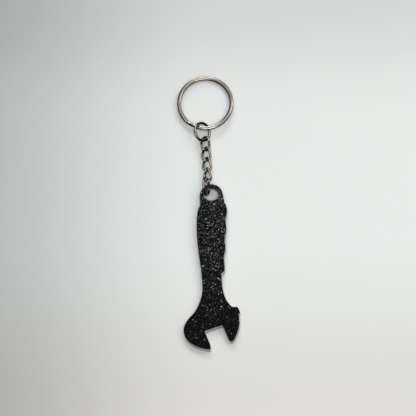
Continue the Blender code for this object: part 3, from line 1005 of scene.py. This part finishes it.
@dataclass
class Sheet:
    """A flat sheet of the opener's outline: a profile carried round each loop, and its two faces."""

    outline: Outline
    low: float  # heights above the plate's upper face
    high: float
    low_round: float
    high_round: float
    round_steps: int = 5

    def profile(self) -> Array:
        """The profile from the lower face's rim up to the upper face's, with a quarter circle at each.

        Returns:
            The inset and height of each of its points, N by 2.
        """
        turn = np.linspace(0, np.pi / 2, self.round_steps)
        sine, cosine = 1 - np.sin(turn), 1 - np.cos(turn)
        lower = np.stack([self.low_round * sine, self.low + self.low_round * cosine], axis=1)
        upper = np.stack([self.high_round * cosine, self.high - self.high_round * sine], axis=1)
        return np.vstack([lower, upper])

    def surface(self, upper: "Pebbles | None" = None, lower: "Pebbles | None" = None) -> Surface:
        """Builds the sheet.

        Args:
            upper: the relief of its upper face, or None for a plain one.
            lower: the relief of its lower face, or None for a plain one.

        Returns:
            The closed surface.
        """
        made = Surface()
        low_rims, high_rims, low_starts, high_starts = [], [], [], []
        for loop in self.outline.loops:
            rings = [(self.outline.inset(loop, inset), height) for inset, height in self.profile()]
            low_starts.append(len(made.points))
            points = np.vstack([self.outline.place(flat, height) for flat, height in rings])
            made.add(points, grid_faces(len(rings), len(loop)))
            high_starts.append(len(made.points) - len(loop))
            low_rims.append(rings[0][0])
            high_rims.append(rings[-1][0])
        self.cap(made, high_rims, high_starts, self.high, upper, 1)
        self.cap(made, low_rims, low_starts, self.low, lower, -1)
        return facing_out(made)

    def cap(
        self,
        made: Surface,
        rims: list[Array],
        starts: list[int],
        height: float,
        relief: "Pebbles | None",
        side: int,
    ) -> None:
        """Closes one face of the sheet by triangles between its rims and a field of inner points.

        Args:
            made: the surface, which has the rims' points already.
            rims: the flat points of each rim.
            starts: the number of each rim's first point in the surface.
            height: the face's height.
            relief: the relief of the inner points, or None for a plain face.
            side: 1 for the upper face and -1 for the lower.
        """
        inner = relief.field(self.outline) if relief else np.zeros((0, 2))
        flat = np.vstack([*rims, inner])
        loops, count = [], 0
        for rim in rims:
            loops.append(list(range(count, count + len(rim))))
            count += len(rim)
        edges = [(a, b) for loop in loops for a, b in zip(loop, loop[1:] + loop[:1])]
        found = delaunay_2d_cdt((flat * PER_METRE).tolist(), edges, [], 0, TOUCHING, True)
        triangles = np.array(found[2])
        bounded = replace(self.outline, loops=rims)
        kept = triangles[bounded.inside(flat[triangles].mean(axis=1), 0.0)]
        numbers = np.concatenate(
            [np.arange(start, start + len(rim)) for start, rim in zip(starts, rims)]
            + [np.arange(len(made.points), len(made.points) + len(inner))]
        )
        if relief:
            drop = relief.depth_at(inner)
            made.points = np.vstack([made.points, self.outline.place(inner, height - side * drop)])
        ordered = numbers[kept] if side > 0 else numbers[kept][:, ::-1]
        made.faces += [tuple(face) for face in ordered.tolist()]


@dataclass
class Pebbles:
    """The shallow pebbled relief of the coating: dips between bumps at random places."""

    seed: int
    spacing: float = 0.3 * MM
    jitter: float = 0.3  # how far a point may be off its place in the grid, in spacings
    margin: float = 0.32 * MM  # the least distance from an edge
    bump: float = 0.95 * MM
    depth: float = 0.075 * MM
    steepness: float = 3.0
    stir: tuple[Pair, Pair] = ((127.1, 269.5), (311.7, 183.3))  # make a square's number look random
    stretch: float = 43758.5453

    def field(self, outline: Outline) -> Array:
        """Scatters points on the material.

        Args:
            outline: the sheet's outline.

        Returns:
            A jittered grid of points, N by 2.
        """
        sides = zip(outline.loops[0].min(axis=0), outline.loops[0].max(axis=0))
        u, v = np.meshgrid(*(np.arange(low, high, self.spacing) for low, high in sides))
        points = np.stack([u.ravel(), v.ravel()], axis=1)
        random = np.random.default_rng(self.seed)
        points += random.uniform(-self.jitter, self.jitter, points.shape) * self.spacing
        return points[outline.inside(points, self.margin)]

    def depth_at(self, points: Array) -> Array:
        """How far points lie below the sheet's face.

        The nearest of the random centres, one in each square of a grid of bump's size, is at distance d,
        and the depth is depth * (1 - exp(-(d / bump)^2 * steepness)).

        Args:
            points: the points, N by 2.

        Returns:
            The depth of each.
        """
        cell = np.floor(points / self.bump).astype(np.int64)
        nearest = np.full(len(points), np.inf)
        for step in np.ndindex(3, 3):
            square = cell + np.array(step) - 1
            hashed = np.sin(square @ np.array(self.stir) + self.seed) * self.stretch
            centre = (square + hashed - np.floor(hashed)) * self.bump
            nearest = np.minimum(nearest, np.linalg.norm(points - centre, axis=1))
        return self.depth * (1 - np.exp(-((nearest / self.bump) ** 2) * self.steepness))


# ---- sub-assemblies


@dataclass
class Workshop:
    """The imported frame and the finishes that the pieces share."""

    frame: dict[str, Any]
    finishes: dict[Slot, bpy.types.Material]

    def fit(self, surface: Surface, name: str, body: str, node: str, slot: Slot) -> None:
        """Makes a surface a piece that stands for its CAD node and rides on that node's body.

        Args:
            surface: the piece's shape.
            name: its name.
            body: the body.
            node: the CAD node.
            slot: the material slot that its finish comes from.
        """
        made = surface.object(name, self.finishes[slot])
        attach(made, body)
        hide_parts(node)
        LOG.info("%s stands for %s on %s: %d faces", made.name, node, body, len(made.data.polygons))


@dataclass
class OpenerAssembly:
    """The cut steel plate with its two glittering facings."""

    body: str = "opener"
    plate_round: float = 0.07 * MM
    outer_round: float = 0.1 * MM  # of a facing's edge that is seen
    inner_round: float = 0.03 * MM  # of its edge on the plate
    front_seed: int = 7
    back_seed: int = 19

    def build(self, shop: Workshop) -> None:
        """Builds the plate and both facings.

        Args:
            shop: the frame and the finishes.
        """
        outline = Outline.of_plate(shop.frame["nodes"]["opener_plate"])
        plate = self.sheet(shop, outline, "opener_plate", self.plate_round, self.plate_round)
        shop.fit(plate.surface(), "plate_blank", self.body, "opener_plate", Slot.STEEL)
        front = self.sheet(shop, outline, "front_facing", self.inner_round, self.outer_round)
        relief = Pebbles(self.front_seed)
        shop.fit(front.surface(upper=relief), "front_glitter", self.body, "front_facing", Slot.FACING)
        back = self.sheet(shop, outline, "back_facing", self.outer_round, self.inner_round)
        relief = Pebbles(self.back_seed)
        shop.fit(back.surface(lower=relief), "back_glitter", self.body, "back_facing", Slot.FACING)

    def sheet(self, shop: Workshop, outline: Outline, node: str, low: float, high: float) -> Sheet:
        """A sheet between its CAD node's lowest and highest points, with these roundings low and high."""
        heights = (cad_triangles(shop.frame["nodes"][node]) - outline.origin) @ outline.normal
        return Sheet(outline, float(heights.min()), float(heights.max()), low, high)


@dataclass
class ChainAssembly:
    """The two jump rings and the curb links between them."""

    bail_cut: float = math.radians(160)
    connector_cut: float = math.radians(200)
    links: int = 4

    def build(self, shop: Workshop) -> None:
        """Builds each ring and link where its CAD node lies.

        Args:
            shop: the frame and the finishes.
        """
        nodes = shop.frame["nodes"]
        for node, cut in (("bail_ring", self.bail_cut), ("connector_ring", self.connector_cut)):
            ring = JumpRing(cut).surface(Lie.of_ring(nodes[node]))
            shop.fit(ring, node + "_wire", node, node, Slot.NICKEL)
        for number in range(1, self.links + 1):
            node = f"chain_link_{number}"
            link = CurbLink().surface(Lie.of_link(nodes[node]))
            shop.fit(link, f"curb_link_{number}", node, node, Slot.NICKEL)


@dataclass
class KeyRingAssembly:
    """The split key ring."""

    node: str = "split_ring"

    def build(self, shop: Workshop) -> None:
        """Builds the coil where its CAD node lies."""
        coil = SplitRing().surface(Lie.of_ring(shop.frame["nodes"][self.node]))
        shop.fit(coil, "split_ring_coil", self.node, self.node, Slot.NICKEL)


# ---- table, lights and camera


@dataclass(frozen=True)
class SoftLight:
    """A square soft light, turned to the object."""

    name: str
    place: Triple
    side: float
    power: float
    tint: Triple = (1.0, 1.0, 1.0)

    def hang(self) -> None:
        """Adds the light to the scene."""
        data = bpy.data.lights.new(self.name, "AREA")
        data.shape = "SQUARE"
        data.size = self.side
        data.energy = self.power
        data.color = self.tint
        made = bpy.data.objects.new(self.name, data)
        made.location = self.place
        made.rotation_mode = "QUATERNION"
        made.rotation_quaternion = (-Vector(self.place)).to_track_quat("-Z", "Y")
        bpy.context.scene.collection.objects.link(made)


@dataclass
class Studio:
    """The table top, the soft lights, the room's light and the camera."""

    look_at: Triple = (-0.37 * MM, 2.46 * MM, 0.0)
    towards_camera: Triple = (0.0534, -0.2169, 1.0)
    camera_distance: float = 4.0
    frame_width: float = 186.9 * MM  # what the camera takes in at that distance
    table_side: float = 2.4
    table_drop: float = 0.02 * MM  # how far the table lies under the object
    key: SoftLight = SoftLight("key_light", (0.24, 0.16, 0.36), 0.16, 0.35, (1.0, 0.985, 0.96))
    fill: SoftLight = SoftLight("fill_light", (0.03, -0.14, 0.55), 0.22, 1.1)
    tilt: Triple = (0.36, 0.20, 1.0)  # the way that the room's bright dome leans
    dome_edge: Pair = (0.66, 0.98)  # how far along it a direction goes where light begins and is full
    window: Triple = (-0.08, 0.79, 0.61)  # the way to a small bright window
    window_edge: Pair = (0.955, 0.985)  # the cosines of the angles from it where it ends and is full
    glare: Triple = (7.0, 7.0, 6.9)
    bright: Triple = (1.30, 1.325, 1.325)
    dark: Triple = (0.045, 0.046, 0.049)

    def table(self) -> None:
        """Lays a square table top just under the object."""
        half = self.table_side / 2
        corners = [(x * half, y * half, -self.table_drop) for x, y in ((-1, -1), (1, -1), (1, 1), (-1, 1))]
        top = Surface(np.array(corners), [(0, 1, 2, 3)]).object("table_top", TableFinish().build())

    def room(self) -> None:
        """Lights the room: a bright dome that leans to the right, dark low down, with a window."""
        graph = Graph.of_world("room")
        lit = self.along(graph, self.tilt).ramp(*self.dome_edge)
        window = self.along(graph, unit(np.array(self.window))).ramp(*self.window_edge)
        graph.set(color=graph.mix(window, graph.mix(lit, self.dark, self.bright), self.glare))
        bpy.context.scene.world = graph.owner

    def along(self, graph: Graph, direction: Any) -> Value:
        """How far the direction looked in goes along another one."""
        sockets = {0: graph.place, 1: tuple(direction)}
        return graph.node("ShaderNodeVectorMath", {"operation": "DOT_PRODUCT"}, sockets, "Value")

    def camera(self) -> None:
        """Sets the camera, with the object's Y axis straight up in its view."""
        back = Vector(self.towards_camera).normalized()
        right = Vector((back.z, 0, -back.x)).normalized()
        up = back.cross(right)
        data = bpy.data.cameras.new("camera")
        data.sensor_width = 36.0
        data.lens = data.sensor_width * self.camera_distance / self.frame_width
        data.clip_start = 0.01
        made = bpy.data.objects.new("camera", data)
        turned = Matrix((right, up, back)).transposed().to_4x4()
        made.matrix_world = Matrix.Translation(Vector(self.look_at) + back * self.camera_distance) @ turned
        bpy.context.scene.collection.objects.link(made)
        bpy.context.scene.camera = made

    def build(self) -> None:
        """Builds the table, lights, world and camera."""
        self.table()
        self.key.hang()
        self.fill.hang()
        self.room()
        bpy.context.scene.view_settings.view_transform = "Standard"
        self.camera()


def main() -> None:
    """Loads the frame, builds each sub-assembly on it and sets the studio round it."""
    logging.basicConfig(level=logging.INFO, format="%(name)s: %(message)s")
    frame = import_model()
    Studio().build()
    finishes = {
        Slot.STEEL: CutSteelFinish().build(),
        Slot.FACING: GlitterFinish().build(),
        Slot.NICKEL: NickelFinish().build(),
    }
    shop = Workshop(frame, finishes)
    OpenerAssembly().build(shop)
    ChainAssembly().build(shop)
    KeyRingAssembly().build(shop)
    LOG.info("all pieces built")


if __name__ == "__main__":
    main()
